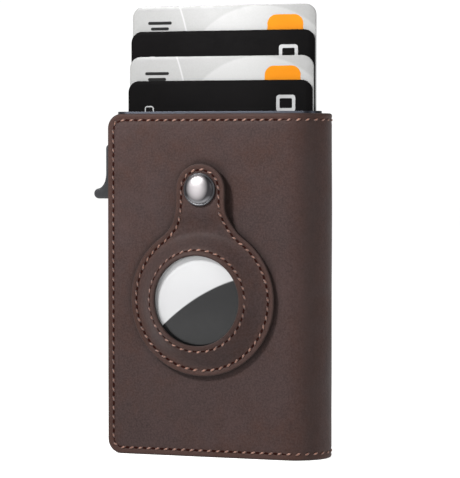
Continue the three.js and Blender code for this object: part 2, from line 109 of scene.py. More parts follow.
class Nodes:
    """A short way to write a node material: each call adds a node and gives its output socket."""

    def __init__(self, name, roughness=0.5, metallic=0.0, specular=0.5):
        self.material = bpy.data.materials.new(name)
        self.material.use_nodes = True
        self.tree = self.material.node_tree
        self.shader = self.tree.nodes["Principled BSDF"]
        self.shader.inputs["Roughness"].default_value = roughness
        self.shader.inputs["Metallic"].default_value = metallic
        self.shader.inputs["Specular IOR Level"].default_value = specular

    def add(self, kind, inputs=(), **settings):
        node = self.tree.nodes.new(kind)
        for key, value in settings.items():
            setattr(node, key, value)
        for key, value in dict(inputs).items():
            self.feed(node.inputs[key], value)
        return node

    def feed(self, socket, value):
        if isinstance(value, bpy.types.NodeSocket):
            self.tree.links.new(value, socket)
        else:
            socket.default_value = value

    def place(self):
        return self.add("ShaderNodeTexCoord").outputs["Object"]

    def noise(self, scale, detail=3.0, rough=0.5, vector=None, distortion=0.0):
        inputs = {"Vector": vector or self.place(), "Scale": scale, "Detail": detail}
        inputs.update({"Roughness": rough, "Distortion": distortion})
        return self.add("ShaderNodeTexNoise", inputs).outputs["Fac"]

    def voronoi(self, scale, feature="F1"):
        inputs = {"Vector": self.place(), "Scale": scale}
        return self.add("ShaderNodeTexVoronoi", inputs, feature=feature).outputs["Distance"]

    def stretch(self, scale):
        inputs = {"Vector": self.place(), "Scale": scale}
        return self.add("ShaderNodeMapping", inputs).outputs["Vector"]

    def ramp(self, value, low_in, high_in, low_out=0.0, high_out=1.0):
        inputs = {"Value": value, "From Min": low_in, "From Max": high_in}
        inputs.update({"To Min": low_out, "To Max": high_out})
        return self.add("ShaderNodeMapRange", inputs).outputs["Result"]

    def mix(self, factor, first, second):
        node = self.add("ShaderNodeMix", data_type="RGBA")
        self.feed(node.inputs["Factor"], factor)
        for socket, value in ((node.inputs[6], first), (node.inputs[7], second)):
            self.feed(socket, value if isinstance(value, bpy.types.NodeSocket) else (*value, 1.0))
        return node.outputs[2]

    def math(self, operation, *values):
        return self.add("ShaderNodeMath", dict(enumerate(values)), operation=operation).outputs[0]

    def vector(self, operation, *values):
        return self.add("ShaderNodeVectorMath", dict(enumerate(values)), operation=operation)

    def from_line(self, x0, z0):
        """How far a place is, as a vector, from the line along Y through x0, z0."""
        return self.vector("ADD", self.place(), (-x0, 0.0, -z0)).outputs[0]

    def x_and_z(self, vector):
        split = self.add("ShaderNodeSeparateXYZ", {0: vector})
        return split.outputs[0], split.outputs[2]

    def attribute(self, name):
        return self.add("ShaderNodeAttribute", attribute_name=name).outputs["Fac"]

    def color(self, value):
        self.feed(self.shader.inputs["Base Color"], value)

    def roughness(self, value):
        self.feed(self.shader.inputs["Roughness"], value)

    def bump(self, height, distance, strength=1.0, under=None):
        inputs = {"Height": height, "Distance": distance, "Strength": strength}
        if under is not None:
            inputs["Normal"] = under
        normal = self.add("ShaderNodeBump", inputs).outputs["Normal"]
        self.feed(self.shader.inputs["Normal"], normal)
        return normal


# ---------------- materials


def leather_material():
    """Waxed nubuck: cloudy brown, fine pebble grain, pale scuffs, darker where it is burnished, and
    painted shade in a band round the spine and round the holder's outline.
    """
    m = Nodes("leather", specular=0.18)
    clouds = m.noise(24, 4, 0.55)
    patches = m.noise(70, 3, 0.6, distortion=0.4)
    mottle = m.noise(330, 3, 0.7)
    base = m.mix(m.ramp(clouds, 0.36, 0.64), (0.0182, 0.0088, 0.0078), (0.0312, 0.0160, 0.0146))
    base = m.mix(m.ramp(patches, 0.42, 0.66, 0.0, 0.85), base, (0.0290, 0.0112, 0.0072))
    base = m.mix(m.ramp(mottle, 0.34, 0.68, 0.0, 0.55), base, (0.0150, 0.0078, 0.0070))
    base = m.mix(m.ramp(m.noise(1900, 3, 0.7), 0.40, 0.64, 0.0, 0.48), base, (0.0480, 0.0285, 0.0262))
    base = m.mix(m.ramp(m.noise(1300, 3, 0.7), 0.50, 0.66, 0.0, 0.24), base, (0.0098, 0.0048, 0.0042))
    base = m.mix(m.attribute("warm"), base, (0.0374, 0.0144, 0.0090))
    # darker where burnished, and as painted shade round the spine and round the holder's outline
    base = m.mix(m.attribute("burnish_and_shade"), base, (0.0105, 0.0053, 0.0047))
    scuffs = m.noise(120, 5, 0.72, vector=m.stretch((1.0, 1.0, 0.22)), distortion=0.8)
    base = m.mix(m.ramp(scuffs, 0.64, 0.80, 0.0, 0.22), base, (0.0858, 0.0546, 0.0429))
    m.color(base)
    m.roughness(m.ramp(patches, 0.3, 0.7, 0.56, 0.72))
    m.shader.inputs["Sheen Weight"].default_value = 0.05
    grain = m.voronoi(1500, "SMOOTH_F1")
    first = m.bump(grain, 0.00006, 0.35)
    second = m.bump(m.noise(900, 4, 0.65), 0.00012, 0.5, under=first)
    m.bump(m.noise(160, 3, 0.5), 0.00030, 0.35, under=second)
    return m.material


def cut_edge_material():
    m = Nodes("leather_edge", roughness=0.7, specular=0.2)
    fibres = m.noise(1400, 3, 0.6, vector=m.stretch((1.0, 1.0, 0.4)))
    m.color(m.mix(m.ramp(fibres, 0.3, 0.7), (0.009, 0.005, 0.004), (0.026, 0.014, 0.011)))
    m.bump(fibres, 0.0001, 0.5)
    return m.material


def thread_material():
    m = Nodes("thread", roughness=0.5)
    strands = m.noise(2600, 2, 0.5)
    uneven = m.noise(700, 2, 0.5)
    top = m.mix(m.ramp(strands, 0.3, 0.7), (0.135, 0.052, 0.030), (0.255, 0.128, 0.088))
    top = m.mix(m.ramp(uneven, 0.42, 0.66, 0.0, 0.75), top, (0.095, 0.033, 0.018))
    # painted shade: darker where the thread dives into its holes and along upright runs
    m.color(m.mix(m.attribute("dip"), top, (0.016, 0.0045, 0.0032)))
    m.bump(strands, 0.00005, 0.5)
    m.shader.inputs["Sheen Weight"].default_value = 0.15
    return m.material


def hole_material():
    # near black without gloss: painted shade in the awl holes
    m = Nodes("stitch_hole", roughness=0.95, specular=0.0)
    m.color(m.mix(m.noise(1500), (0.010, 0.0034, 0.0026), (0.022, 0.0075, 0.0058)))
    return m.material


def lining_material():
    m = Nodes("lining", roughness=0.78, specular=0.2)
    pores = m.voronoi(1100)
    m.color(m.mix(m.ramp(m.noise(60), 0.3, 0.7), (0.0125, 0.0080, 0.0066), (0.0200, 0.0130, 0.0105)))
    m.bump(pores, 0.00008, 0.5)
    return m.material


def board_material():
    m = Nodes("board", roughness=0.9)
    fibres = m.noise(700, 5, 0.7)
    m.color(m.mix(fibres, (0.20, 0.16, 0.12), (0.36, 0.30, 0.23)))
    m.bump(fibres, 0.0001, 0.6)
    return m.material


def case_material():
    m = Nodes("case_metal", metallic=0.85)
    brushed = m.noise(900, 3, 0.6, vector=m.stretch((0.05, 1.0, 1.0)))
    m.color(m.mix(brushed, (0.010, 0.011, 0.015), (0.021, 0.023, 0.029)))
    m.roughness(m.ramp(brushed, 0.3, 0.7, 0.34, 0.48))
    m.bump(brushed, 0.00001, 0.3)
    return m.material


def plastic_material(name, dark, light, roughness, texture=2200.0, depth=0.00003, specular=0.4):
    m = Nodes(name, specular=specular)
    spark = m.noise(texture, 3, 0.6)
    m.color(m.mix(m.ramp(m.noise(90), 0.35, 0.65), dark, light))
    m.roughness(m.ramp(spark, 0.3, 0.7, roughness - 0.05, roughness + 0.07))
    m.bump(spark, depth, 0.4)
    return m.material


def metal_material(name, color, roughness):
    m = Nodes(name, metallic=1.0)
    hairlines = m.noise(1500, 4, 0.6, vector=m.stretch((1.0, 0.12, 1.0)))
    smudge = m.noise(300, 3, 0.6)
    shade = tuple(c * 0.86 for c in color)
    m.color(m.mix(m.ramp(smudge, 0.35, 0.7), color, shade))
    m.roughness(m.ramp(hairlines, 0.3, 0.75, roughness, roughness + 0.05))
    return m.material


def circle_distance(m, x0, z0):
    flat = m.vector("MULTIPLY", m.from_line(x0, z0), (1.0, 0.0, 1.0)).outputs[0]
    return m.vector("LENGTH", flat).outputs["Value"]


def card_material(name, base, band, line, corner):
    """A satin printed card: a faint arc and a paler field, placed from the card's top left corner."""
    m = Nodes(name, specular=0.25)
    left, top = corner
    field = circle_distance(m, left + 38 * MM, top - 24 * MM)
    inside = m.ramp(field, 23.6 * MM, 24.2 * MM, 1.0, 0.0)
    arc_radius = 60 * MM
    arc = circle_distance(m, left - 42.4 * MM, top - 20.3 * MM)
    near = m.math("ABSOLUTE", m.math("SUBTRACT", arc, arc_radius))
    color = m.mix(m.ramp(arc, arc_radius, arc_radius + 0.4 * MM, 0.0, 0.25), base, line)
    color = m.mix(inside, color, band)
    bright = tuple(1.15 * c for c in band)
    color = m.mix(m.ramp(near, 0.12 * MM, 0.34 * MM, 1.0, 0.0), color, bright)
    m.color(m.mix(m.ramp(m.noise(2400, 2), 0.4, 0.6, 0.0, 0.03), color, (0.5, 0.5, 0.5)))
    m.roughness(m.ramp(m.noise(500, 3), 0.3, 0.7, 0.31, 0.41))
    return m.material


def tag_steel_painted_reflection_material():
    """Mirror steel with its studio reflection painted into the colour: a pale field over a charcoal one,
    split along a low arch, each lighter towards the top as painted light.
    """
    m = Nodes("tag_steel", metallic=0.35)
    x, z = m.x_and_z(m.from_line(TAG_X, TAG_Z))
    # painted reflection: the arch where a reflected pale softbox meets a reflected dark flag
    rise = m.math("MULTIPLY_ADD", x, 0.613, 0.9 * MM)
    arch = m.math("MULTIPLY", m.math("MULTIPLY", x, x), 14.4)
    above = m.math("ADD", m.math("SUBTRACT", z, rise), arch)
    pale = m.ramp(above, -0.18 * MM, 0.22 * MM)
    # painted light: both reflected fields grade lighter towards the top
    shade = m.ramp(z, -12 * MM, 12 * MM)
    light = m.mix(shade, (0.34, 0.34, 0.345), (0.50, 0.50, 0.505))
    dark = m.mix(shade, (0.006, 0.006, 0.0063), (0.020, 0.020, 0.0205))
    m.color(m.mix(pale, dark, light))
    m.roughness(m.ramp(m.noise(420, 3), 0.3, 0.7, 0.19, 0.27))
    return m.material


def snap_dome_material():
    """Gunmetal with a painted reflection: pale over the crown of the dome, a grey arc low down, and dark
    down its flanks and round its rim.
    """
    m = Nodes("snap_dome", metallic=0.8)
    x, z = m.x_and_z(m.from_line(TAG_X, SNAP_Z))
    # painted highlight: a soft pale oval over the crown, a reflected softbox
    across = m.math("DIVIDE", m.math("ADD", x, 0.35 * MM), 2.5 * MM)
    up = m.math("DIVIDE", m.math("SUBTRACT", z, 0.7 * MM), 3.1 * MM)
    oval = m.math("ADD", m.math("MULTIPLY", across, across), m.math("MULTIPLY", up, up))
    crown = m.ramp(oval, 0.05, 1.7, 1.0, 0.0)
    color = m.mix(crown, (0.026, 0.024, 0.026), (0.44, 0.414, 0.422))
    radius = circle_distance(m, TAG_X, SNAP_Z)
    # painted reflection: a grey arc low on the dome
    low = m.ramp(z, -1.6 * MM, -3.0 * MM)
    painted_reflection_arc = m.math("MULTIPLY", low, m.ramp(radius, 2.9 * MM, 3.5 * MM))
    color = m.mix(m.math("MULTIPLY", painted_reflection_arc, 0.75), color, (0.22, 0.22, 0.23))
    # painted shade: the rolled rim darkened all round
    m.color(m.mix(m.ramp(radius, 4.05 * MM, 4.35 * MM), color, (0.040, 0.040, 0.043)))
    m.roughness(m.ramp(m.noise(700, 3), 0.3, 0.7, 0.37, 0.45))
    return m.material


PLASTICS = {
    "black_plastic": ((0.0085, 0.0090, 0.0105), (0.014, 0.015, 0.0175), 0.36),
    "grey_plastic": ((0.085, 0.088, 0.092), (0.12, 0.12, 0.13), 0.55),
    "white_plastic": ((0.80, 0.80, 0.79), (0.88, 0.88, 0.87), 0.22),
    "chip": ((0.008, 0.008, 0.009), (0.016, 0.016, 0.018), 0.4),
    "circuit": ((0.006, 0.030, 0.012), (0.012, 0.052, 0.022), 0.35),
    "foam": ((0.03, 0.03, 0.033), (0.06, 0.06, 0.065), 0.9, 900.0, 0.0003),
    "felt": ((0.008, 0.008, 0.009), (0.018, 0.018, 0.019), 0.93, 1300.0, 0.0003),
    "card_accent": ((0.435, 0.145, 0.0020), (0.47, 0.165, 0.0030), 0.40, 2200.0, 0.00003, 0.10),
    "card_ink": ((0.005, 0.005, 0.005), (0.009, 0.009, 0.009), 0.45, 2200.0, 0.00003, 0.10),
    "card_print": ((0.27, 0.27, 0.27), (0.36, 0.36, 0.365), 0.32, 2200.0, 0.00003, 0.2),
}
METALS = {
    "snap_metal": ((0.19, 0.185, 0.19), 0.22),
    "magnet_metal": ((0.26, 0.26, 0.27), 0.30),
    "copper": ((0.60, 0.27, 0.13), 0.25),
}
MATERIALS = {
    "leather": leather_material(),
    "leather_edge": cut_edge_material(),
    "thread": thread_material(),
    "stitch_hole": hole_material(),
    "lining": lining_material(),
    "board": board_material(),
    "case_metal": case_material(),
    "snap_dome": snap_dome_material(),
    "tag_steel": tag_steel_painted_reflection_material(),
}
MATERIALS.update({name: plastic_material(name, *look) for name, look in PLASTICS.items()})
MATERIALS.update({name: metal_material(name, *look) for name, look in METALS.items()})

# ---------------- mesh helpers


def new_object(name, vertices, faces, material, smooth=True):
    mesh = bpy.data.meshes.new(name)
    mesh.from_pydata([tuple(v) for v in vertices], [], [tuple(f) for f in faces])
    mesh.update()
    obj = bpy.data.objects.new(name, mesh)
    bpy.context.scene.collection.objects.link(obj)
    for item in material if isinstance(material, list) else [material]:
        mesh.materials.append(MATERIALS[item])
    if smooth:
        mesh.polygons.foreach_set("use_smooth", [True] * len(mesh.polygons))
    face_out(mesh)
    return obj


def face_out(mesh):
    work = bmesh.new()
    work.from_mesh(mesh)
    bmesh.ops.recalc_face_normals(work, faces=work.faces)
    work.to_mesh(mesh)
    work.free()


def bevel_sharp(obj, width, segments):
    """Rounds the sharp edges of a closed mesh, and shades it smooth between what is left of them."""
    work = bmesh.new()
    work.from_mesh(obj.data)
    if width:
        turn = math.radians(50)
        sharp = [e for e in work.edges if len(e.link_faces) == 2 and e.calc_face_angle() > turn]
        bmesh.ops.bevel(work, geom=sharp, offset=width, segments=segments, profile=0.5, affect="EDGES")
    work.to_mesh(obj.data)
    work.free()
    obj.data.polygons.foreach_set("use_smooth", [True] * len(obj.data.polygons))
    obj.data.set_sharp_from_angle(angle=math.radians(35))


def point_attribute(obj, name, values):
    attribute = obj.data.attributes.new(name, "FLOAT", "POINT")
    attribute.data.foreach_set("value", np.asarray(values, dtype=np.float32))


def paint(sheet, burnish_and_shade, warm):
    """Says how burnished or darkened by painted shade, and how warm, a leather sheet is at each point of
    both its faces.
    """
    point_attribute(sheet, "burnish_and_shade", np.tile(burnish_and_shade.ravel(), 2))
    point_attribute(sheet, "warm", np.tile(warm.ravel(), 2))


def smoothstep(value, start, end):
    t = np.clip((value - start) / (end - start), 0, 1)
    return t * t * (3 - 2 * t)


def fade(value, start, end):
    """1 before the start, 0 after the end, and smooth between them."""
    return 1 - smoothstep(value, start, end)


def ridge(value, middle, width):
    """A soft bell, 1 high over its middle."""
    return np.exp(-(((value - middle) / width) ** 2))


def rolled(distance, width):
    """The fall of a rounded edge: 1 at the edge itself, 0 from a width inside it."""
    return 1 - np.sqrt(np.clip(1 - (1 - np.clip(distance / width, 0, 1)) ** 2, 0, 1))


def graded(length, fine, count_fine, coarse):
    """Positions from 0 to length, close together near both ends."""
    ends = [0.0]
    for i in range(count_fine):
        ends.append(ends[-1] + fine * 1.28**i)
    middle = np.arange(ends[-1] + coarse, length - ends[-1] - coarse / 2, coarse)
    return np.array(ends + list(middle) + [length - e for e in reversed(ends)])


def grid_faces(rows, columns, offset=0, flip=False):
    faces = []
    for i in range(rows - 1):
        for j in range(columns - 1):
            a = offset + i * columns + j
            quad = (a, a + 1, a + columns + 1, a + columns)
            faces.append(quad[::-1] if flip else quad)
    return faces


def closed_sheet(name, outer, inner, material):
    """A solid from two grids of points of one shape, joined round their edges, edge faces last."""
    rows, columns = outer.shape[:2]
    count = rows * columns
    faces = grid_faces(rows, columns) + grid_faces(rows, columns, count, flip=True)
    rim = [(0, j) for j in range(columns - 1)] + [(i, columns - 1) for i in range(rows - 1)]
    rim += [(rows - 1, j) for j in range(columns - 1, 0, -1)]
    rim += [(i, 0) for i in range(rows - 1, 0, -1)]
    loop = [i * columns + j for i, j in rim]
    for a, b in zip(loop, loop[1:] + loop[:1]):
        faces.append((b, a, a + count, b + count))
    vertices = np.concatenate([outer.reshape(-1, 3), inner.reshape(-1, 3)])
    return new_object(name, vertices, faces, material), len(loop)


# ---------------- the holder's outline

RING_OUTER = (high("holder_ring").x - low("holder_ring").x) / 2
WINDOW = 12.25 * MM
DOME_FOOT = 18.9 * MM
BRIM, CROWN_HEIGHT = 1.4 * MM, 5.9 * MM
NECK = 7.05 * MM
FILLET = 12 * MM
SNAP_RISE = SNAP_Z - TAG_Z
HINGE_RISE = 19.6 * MM
STRAP_LIFT = 1.3 * MM
HOLDER_STITCH_INSET = 1.6 * MM
WINDOW_STITCH_R = 13.8 * MM
SNAP_R = (high("snap_cap").x - low("snap_cap").x) / 2


def holder_outline(inset):
    """The holder's edge as x, z: from the bottom up the right side to the strap's top, and back."""
    outer, neck, fillet = RING_OUTER - inset, NECK - inset, FILLET + inset
    side = neck + fillet
    rise = math.sqrt((outer + fillet) ** 2 - side**2)
    lean = math.atan2(rise, side)
    round_ring = np.linspace(-math.pi / 2, lean, 90)
    up_fillet = np.linspace(lean, 0, 24)[1:]
    over_top = np.linspace(0, math.pi / 2, 24)
    half = [(outer * math.cos(a), outer * math.sin(a)) for a in round_ring]
    half += [(side - fillet * math.cos(a), rise - fillet * math.sin(a)) for a in up_fillet]
    half += [(neck * math.cos(a), SNAP_RISE + neck * math.sin(a)) for a in over_top]
    mirrored = [(-x, z) for x, z in reversed(half[1:-1])]
    return np.array(half + mirrored)


def nearest_edge(x, z, outline):
    points = np.stack([x.ravel(), z.ravel()], axis=1)
    closest = np.full(len(points), 1.0)
    for a, b in zip(outline, np.roll(outline, -1, axis=0)):
        step = b - a
        t = np.clip(((points - a) @ step) / (step @ step), 0, 1)
        closest = np.minimum(closest, np.linalg.norm(points - a - t[:, None] * step, axis=1))
    return closest.reshape(x.shape)


# ---------------- leather cover

COVER_CORNER = 4.0 * MM
STITCH_INSET = 1.8 * MM
FLAT = SPINE_X - COVER_LEFT
BEND = math.pi * SPINE_R
UNFOLDED = 2 * FLAT + BEND
TAG_HOLE_R = 16.35 * MM
FRONT_STEP, BACK_STEP = 0.8 * MM, 1.1 * MM  # spacing of the sheets' points
SPINE_SHADE_AT = 0.235 * BEND  # how far round the spine the band of painted shade is darkest
SINK = 0.05 * MM  # keeps the leather's face inside the frame's


def edge_distance(s, z, length, height, corner):
    """How far a point of the flat, round-cornered sheet is inside its edge."""
    qx = np.abs(s - length / 2) - (length / 2 - corner)
    qz = np.abs(z - height / 2) - (height / 2 - corner)
    outside = np.hypot(np.maximum(qx, 0), np.maximum(qz, 0)) + np.minimum(np.maximum(qx, qz), 0)
    return corner - outside


def wrap(s, z, depth):
    """A point of the flat sheet, folded round the spine, and moved inwards by a depth."""
    radius = SPINE_R - depth
    angle = np.clip((s - FLAT) / SPINE_R, 0, math.pi) - math.pi / 2
    x = np.where(s < FLAT, COVER_LEFT + s, SPINE_X + radius * np.cos(angle))
    x = np.where(s > FLAT + BEND, SPINE_X - (s - FLAT - BEND), x)
    y = radius * np.sin(angle)
    return np.stack([x, y, z], axis=-1)


def sheet_grid(start, end, step, margin=0.0):
    """Rows up the unfolded sheet and columns along it, drawn in at its round corners."""
    height, corner = COVER_TOP - 2 * margin, COVER_CORNER - margin
    first, last = max(start, margin), min(end, UNFOLDED - margin)
    z = graded(height, 0.14 * MM, 8, step)
    share = graded(last - first, 0.14 * MM, 8, step) / (last - first)
    near_end = np.minimum(z, height - z)
    inset = corner - np.sqrt(np.maximum(corner**2 - np.maximum(corner - near_end, 0) ** 2, 0))
    s = np.empty((len(z), len(share)))
    for row, cut in enumerate(inset):
        left = first + (cut if start == 0 else 0)
        right = last - (cut if start > 0 else 0)
        s[row] = left + (right - left) * share
    return s, np.repeat(z[:, None] + margin, len(share), axis=1)


def leather_relief(distance):
    """Depth below the flat face: a rolled edge and a soft channel under the stitches."""
    channel = 0.22 * MM * ridge(distance, STITCH_INSET, 0.55 * MM)
    return 0.55 * MM * rolled(distance, 0.7 * MM) + channel


def undulation(s, z):
    """The slow unevenness of a hide, up to about a tenth of a millimetre."""
    waves = np.zeros_like(s)
    for k in range(7):
        fx, fz, phase = 40 + 55 * RNG.random(), 40 + 60 * RNG.random(), 6.28 * RNG.random()
        sign = 1 if k % 2 else -1
        waves += np.sin(fx * 2 * math.pi * s * sign * 0.3 + fz * 2 * math.pi * z * 0.3 + phase)
    return waves / 7 * 0.12 * MM


def cover_half(name, start, end):
    front = start == 0
    s, z = sheet_grid(start, end, FRONT_STEP if front else BACK_STEP)
    distance = edge_distance(s, z, UNFOLDED, COVER_TOP, COVER_CORNER)
    depth = leather_relief(distance) + undulation(s, z) * smoothstep(distance, 0, 4 * MM) + SINK
    groove_and_contact_shade = np.zeros_like(s)
    if front:
        holder = nearest_edge(COVER_LEFT + s - TAG_X, z - TAG_Z, holder_outline(0.0))
        # a real shallow groove round the holder's outline, and painted contact shade there where the
        # holder meets the cover
        groove_and_contact_shade = ridge(holder, 0.0, 0.9 * MM)
        depth += 0.10 * MM * groove_and_contact_shade
    outer = wrap(s, z, depth)
    inner = wrap(s, z, LEATHER + 0.18 * MM * fade(distance, 0, 1.2 * MM))
    obj, rim = closed_sheet(name, outer, inner, ["leather", "leather_edge"])
    for polygon in obj.data.polygons[-rim:]:
        polygon.material_index = 1
    from_fold = np.abs(np.minimum(s, UNFOLDED - s) - FLAT - SPINE_SHADE_AT)
    # painted shade: a dark band round the spine where it turns away from the light
    spine_shade = 0.48 * ridge(from_fold, 0.0, 2.9 * MM)
    edge = 0.30 * fade(distance, 0.0, 1.0 * MM)
    # darker: real burnish along the edge, painted shade round the spine, and painted contact shade round
    # the holder
    burnish_and_shade = np.clip(spine_shade + edge + 0.65 * groove_and_contact_shade, 0, 1)
    warm = 0.55 * fade(distance, 1.2 * MM, 2.6 * MM) + 0.25 * ridge(from_fold, 0.0, 5 * MM)
    paint(obj, burnish_and_shade, warm)
    if front:
        cut_tag_hole(obj)
    fold(obj, front)
    return obj


def cut_tag_hole(cover):
    """The round hole that the tag sits in."""
    place, turn = (TAG_X, FRONT_Y, TAG_Z), (math.pi / 2, 0, 0)
    bpy.ops.mesh.primitive_cylinder_add(
        vertices=96, radius=TAG_HOLE_R, depth=6 * MM, location=place, rotation=turn
    )
    cutter = bpy.context.object
    cutter.data.materials.append(MATERIALS["leather_edge"])
    modifier = cover.modifiers.new("tag_hole", "BOOLEAN")
    modifier.operation = "DIFFERENCE"
    modifier.object = cutter
    modifier.solver = "EXACT"
    graph = bpy.context.evaluated_depsgraph_get()
    mesh = bpy.data.meshes.new_from_object(cover.evaluated_get(graph), depsgraph=graph)
    cover.modifiers.clear()
    cover.data = mesh
    bpy.data.objects.remove(cutter)


def fold(piece, front):
    """Bakes a piece's place into its mesh, the same for either half of the cover."""
    if front:
        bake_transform(piece)
    else:
        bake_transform(piece)


front_cover = cover_half("leather_cover_front", 0.0, UNFOLDED / 2)
back_cover = cover_half("leather_cover_back", UNFOLDED / 2, UNFOLDED)
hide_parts("front_cover_leather", "spine_leather")
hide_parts("back_cover_leather")

# ---------------- stitching

STITCH_PITCH = 2.55 * MM
STITCH_LENGTH = 1.60 * MM
STITCH_RADIUS = 0.22 * MM
STITCH_SLANT = 0.34
UPRIGHT_SHADE = 0.45  # painted shade: how much darker a stitch is coloured when it runs up and down, as it takes less of the light from above
STITCH_BED = 0.20 * MM  # how far the stitches' line lies below the leather's face
HOLE_HALF = (0.66, 0.30)  # half the length and width of an awl hole, in millimetres
BACK_NORMAL = np.array([0.0, 1.0, 0.0])


def resample(points, pitch):
    """Places at even spacing along a line of points, with the unit direction at each."""
    points = np.asarray(points, float)
    steps = np.linalg.norm(np.diff(points, axis=0), axis=1)
    travelled = np.concatenate([[0], np.cumsum(steps)])
    count = max(int(round(travelled[-1] / pitch)), 1)
    at = (np.arange(count) + 0.5) * travelled[-1] / count

    def on_line(where):
        return np.stack([np.interp(where, travelled, points[:, k]) for k in range(3)], axis=1)

    along = on_line(at + 0.2 * MM) - on_line(at - 0.2 * MM)
    return on_line(at), along / np.linalg.norm(along, axis=1)[:, None]


def stitches(name, points, normals_at, pitch=STITCH_PITCH, length=STITCH_LENGTH, radius=STITCH_RADIUS):
    """A run of slanted two-ply stitches over a line of points, and the holes between them."""
    places, along = resample(points, pitch)
    rings, sides = 9, 8
    vertices, faces, dip_shade = [], [], []
    for place, forward in zip(places, along):
        up = normals_at(place)
        side = np.cross(up, forward)
        side /= np.linalg.norm(side)
        lean = STITCH_SLANT + RNG.normal(0, 0.035)
        size = 1 + RNG.normal(0, 0.04)
        shade = UPRIGHT_SHADE * forward[2] ** 2
        first = len(vertices)
        for i in range(rings):
            u = -1 + 2 * i / (rings - 1)
            lift = radius * (1.15 - 1.75 * abs(u) ** 3.2)
            run = (forward + side * lean) * (u * length * size / 2)
            centre = place + run + up * (lift - 0.45 * radius)
            thick = radius * size * (1 - 0.35 * u**4)
            for j in range(sides):
                angle = 2 * math.pi * j / sides
                ply = thick * (1 + 0.16 * math.cos(2 * (angle - 2.1 * u)))
                across, above = ply * math.cos(angle), ply * 0.85 * math.sin(angle)
                vertices.append(centre + side * across + up * above)
                # painted shade: darker towards the stitch's ends, where it dives into its holes, and on
                # upright runs
                dip_shade.append(max(0.0, abs(u) * 2.2 - 0.80) + shade)
        for i in range(rings - 1):
            for j in range(sides):
                a = first + i * sides + j
                b = first + i * sides + (j + 1) % sides
                faces.append((a, b, b + sides, a + sides))
        faces.append(tuple(first + j for j in reversed(range(sides))))
        faces.append(tuple(first + (rings - 1) * sides + j for j in range(sides)))
    thread = new_object(name, vertices, faces, "thread")
    point_attribute(thread, "dip", np.clip(dip_shade, 0, 1))
    return thread, stitch_holes(name + "_holes", points, normals_at, pitch)


def stitch_holes(name, points, normals_at, pitch):
    """The awl holes between the stitches, as shallow dishes let into the leather, coloured near black as
    painted shade.
    """
    places, _ = resample(points, pitch)
    gap = places[1:] - places[:-1]
    middles = (places[1:] + places[:-1]) / 2
    vertices, faces = [], []
    sides = 10
    for place, forward in zip(middles, gap / np.linalg.norm(gap, axis=1)[:, None]):
        up = normals_at(place)
        side = np.cross(up, forward)
        first = len(vertices)
        for ring, lift in ((1.0, 0.055), (0.7, 0.02), (1.0, -0.2)):
            for j in range(sides):
                angle = 2 * math.pi * j / sides
                ahead, aside = HOLE_HALF[0] * math.cos(angle), HOLE_HALF[1] * math.sin(angle)
                reach = forward * ahead + side * aside
                vertices.append(place + (reach * ring + up * lift) * MM)
        for upper, lower in ((0, 1), (2, 0)):
            for j in range(sides):
                k = (j + 1) % sides
                a, b = first + upper * sides, first + lower * sides
                faces.append((a + j, a + k, b + k, b + j))
        faces.append(tuple(first + sides + j for j in range(sides)))
        faces.append(tuple(first + 2 * sides + j for j in reversed(range(sides))))
    holes = new_object(name, vertices, faces, "stitch_hole")
    return holes


def cover_stitch_line(start, end):
    """The seam on one half of the cover: along the bottom, round the free edge, along the top."""
    inset, corner = STITCH_INSET, COVER_CORNER - STITCH_INSET
    centre, quarter = inset + corner, np.linspace(0, math.pi / 2, 7)
    line = [(t, inset) for t in np.linspace(end - start, centre, 60)]
    line += [(centre - corner * math.sin(a), centre - corner * math.cos(a)) for a in quarter[1:]]
    line += [(t, COVER_TOP - z) for t, z in reversed(line)]
    from_edge, z = np.array(line).T
    return wrap(end - from_edge if start > 0 else from_edge, z, STITCH_BED)


def cover_normal(place):
    if place[0] <= SPINE_X:
        return np.array([0.0, math.copysign(1.0, place[1]), 0.0])
    out = np.array([place[0] - SPINE_X, place[1], 0.0])
    return out / np.linalg.norm(out)


def sew_cover(name, start, end):
    for piece in stitches(name, cover_stitch_line(start, end), cover_normal):
        fold(piece, front=start == 0)


sew_cover("stitching_front", 0.0, UNFOLDED / 2)
sew_cover("stitching_back", UNFOLDED / 2, UNFOLDED)

# ---------------- tag holder


def holder_height(x, z):
    """Height of the leather's face above the front cover, before edges and channels."""
    t = np.clip((DOME_FOOT - np.hypot(x, z)) / (DOME_FOOT - WINDOW), 0, 1)
    dome = BRIM + (CROWN_HEIGHT - BRIM) * t * t * (3 - 2 * t)
    return dome + STRAP_LIFT * smoothstep(z, HINGE_RISE, HINGE_RISE + 5 * MM)


